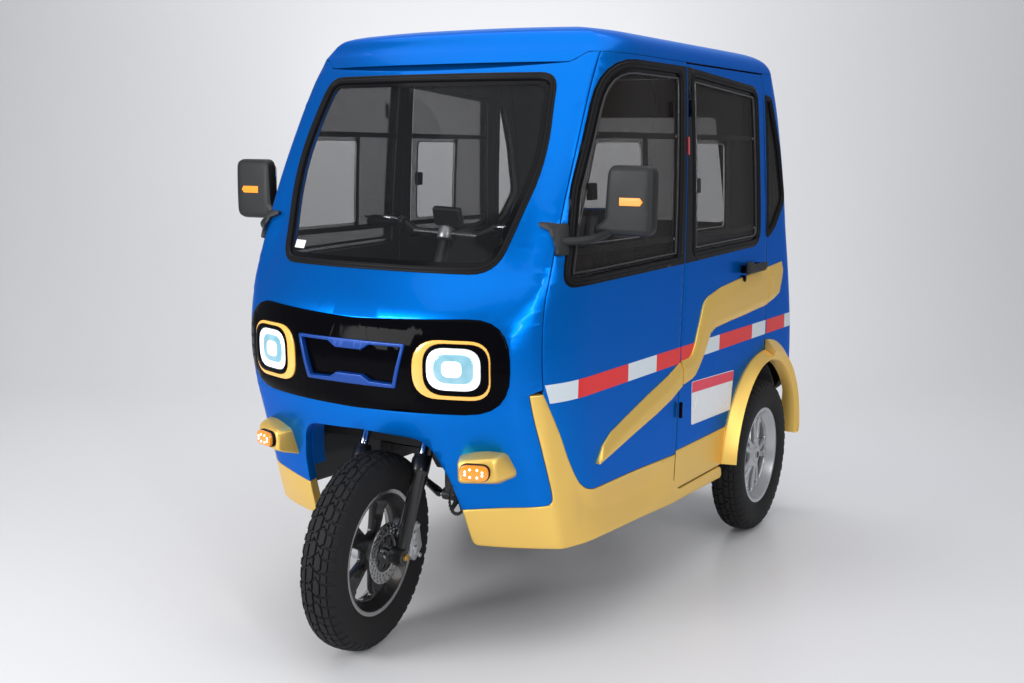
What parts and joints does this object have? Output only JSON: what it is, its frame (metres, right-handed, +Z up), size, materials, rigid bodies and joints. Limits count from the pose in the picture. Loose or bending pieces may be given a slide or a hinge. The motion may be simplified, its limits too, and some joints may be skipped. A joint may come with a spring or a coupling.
{
  "type": "enclosed electric cycle rickshaw",
  "caption": "Enclosed electric cycle rickshaw with a hollow glazed cab, opening side doors, raked steering, spoked wheels, pedals and seats for a driver and passengers.",
  "frame": {"origin": "on the ground, under the middle of the overall width and length", "axes": "+X is the vehicle left side, -Y is its front, +Z is up"},
  "size_m": [1.364, 2.1683, 1.662],
  "materials": {
    "blue_paint": "metallic azure under clear coat",
    "gold_paint": "satin champagne gold",
    "window_glass": "tinted, clear",
    "lamp_lens": "clear lens over a white reflector",
    "red_lens": "moulded lens",
    "gloss_black": "gloss black",
    "grey_plastic": "textured dark grey",
    "seat_leather": "dark seat cover",
    "black_steel": "black enamel",
    "tyre": "moulded tread",
    "black_alloy": "black casting with a machined lip",
    "silver_alloy": "silver casting"
  },
  "bodies": {
    "body": {"front_cowl": "blue_paint", "roof": "blue_paint", "side_panel_left": "blue_paint", "side_panel_right": "blue_paint", "quarter_panel_left": "blue_paint", "quarter_panel_right": "blue_paint", "rear_panel": "blue_paint", "sill_left": "gold_paint", "sill_right": "gold_paint", "arch_flare_left": "gold_paint", "arch_flare_right": "gold_paint", "indicator_left": "gold_paint", "indicator_right": "gold_paint", "windscreen": "window_glass", "rear_glass": "window_glass", "front_side_glass_left": "window_glass", "front_side_glass_right": "window_glass", "quarter_glass_left": "window_glass", "quarter_glass_right": "window_glass", "headlamp_left": "lamp_lens", "headlamp_right": "lamp_lens", "tail_lamp_left": "red_lens", "tail_lamp_right": "red_lens", "lamp_mask": "gloss_black", "mirror_left": "gloss_black", "mirror_right": "gloss_black", "floor_pan": "grey_plastic", "dashboard": "grey_plastic", "wheel_housing_left": "grey_plastic", "wheel_housing_right": "grey_plastic", "driver_seat": "seat_leather", "rear_seat": "seat_leather", "battery_box": "black_steel", "chassis_frame": "black_steel", "rear_axle": "black_steel"},
    "door_left": {"door_left": "blue_paint", "door_glass_left": "window_glass", "door_flare_left": "gold_paint", "door_handle_left": "gloss_black"},
    "door_right": {"door_right": "blue_paint", "door_glass_right": "window_glass", "door_flare_right": "gold_paint", "door_handle_right": "gloss_black"},
    "steering": {"fork": "black_steel", "handlebar": "black_steel"},
    "front_wheel": {"front_tyre": "tyre", "front_rim": "black_alloy"},
    "rear_wheel_left": {"rear_tyre_left": "tyre", "rear_rim_left": "silver_alloy"},
    "rear_wheel_right": {"rear_tyre_right": "tyre", "rear_rim_right": "silver_alloy"},
    "crank": {"crankset": "black_steel"}
  },
  "joints": [
    {"name": "steer", "type": "hinge", "parent": "body", "child": "steering", "pos_m": [0, -0.782, 0.26665], "axis": [0, 0.3875, 0.9219], "range_deg": [-41.4, 28.6]},
    {"name": "front_wheel_spin", "type": "hinge", "parent": "steering", "child": "front_wheel", "pos_m": [0.0037, -0.81781, 0.26657], "axis": [0.9938, 0.1028, -0.0432], "continuous": true},
    {"name": "rear_wheel_left_spin", "type": "hinge", "parent": "body", "child": "rear_wheel_left", "pos_m": [0.515, 0.722, 0.266], "axis": [1, 0, 0], "continuous": true},
    {"name": "rear_wheel_right_spin", "type": "hinge", "parent": "body", "child": "rear_wheel_right", "pos_m": [-0.515, 0.722, 0.266], "axis": [1, 0, 0], "continuous": true},
    {"name": "crank_spin", "type": "hinge", "parent": "body", "child": "crank", "pos_m": [0, -0.413, 0.318], "axis": [1, 0, 0], "continuous": true},
    {"name": "door_left_swing", "type": "hinge", "parent": "body", "child": "door_left", "pos_m": [0.53807, 0.01782, 0.555], "axis": [0.0167, -0.0417, -0.999], "range_deg": [0, 70]},
    {"name": "door_right_swing", "type": "hinge", "parent": "body", "child": "door_right", "pos_m": [-0.53807, 0.01782, 0.555], "axis": [0.0167, 0.0417, 0.999], "range_deg": [0, 70]}
  ]
}
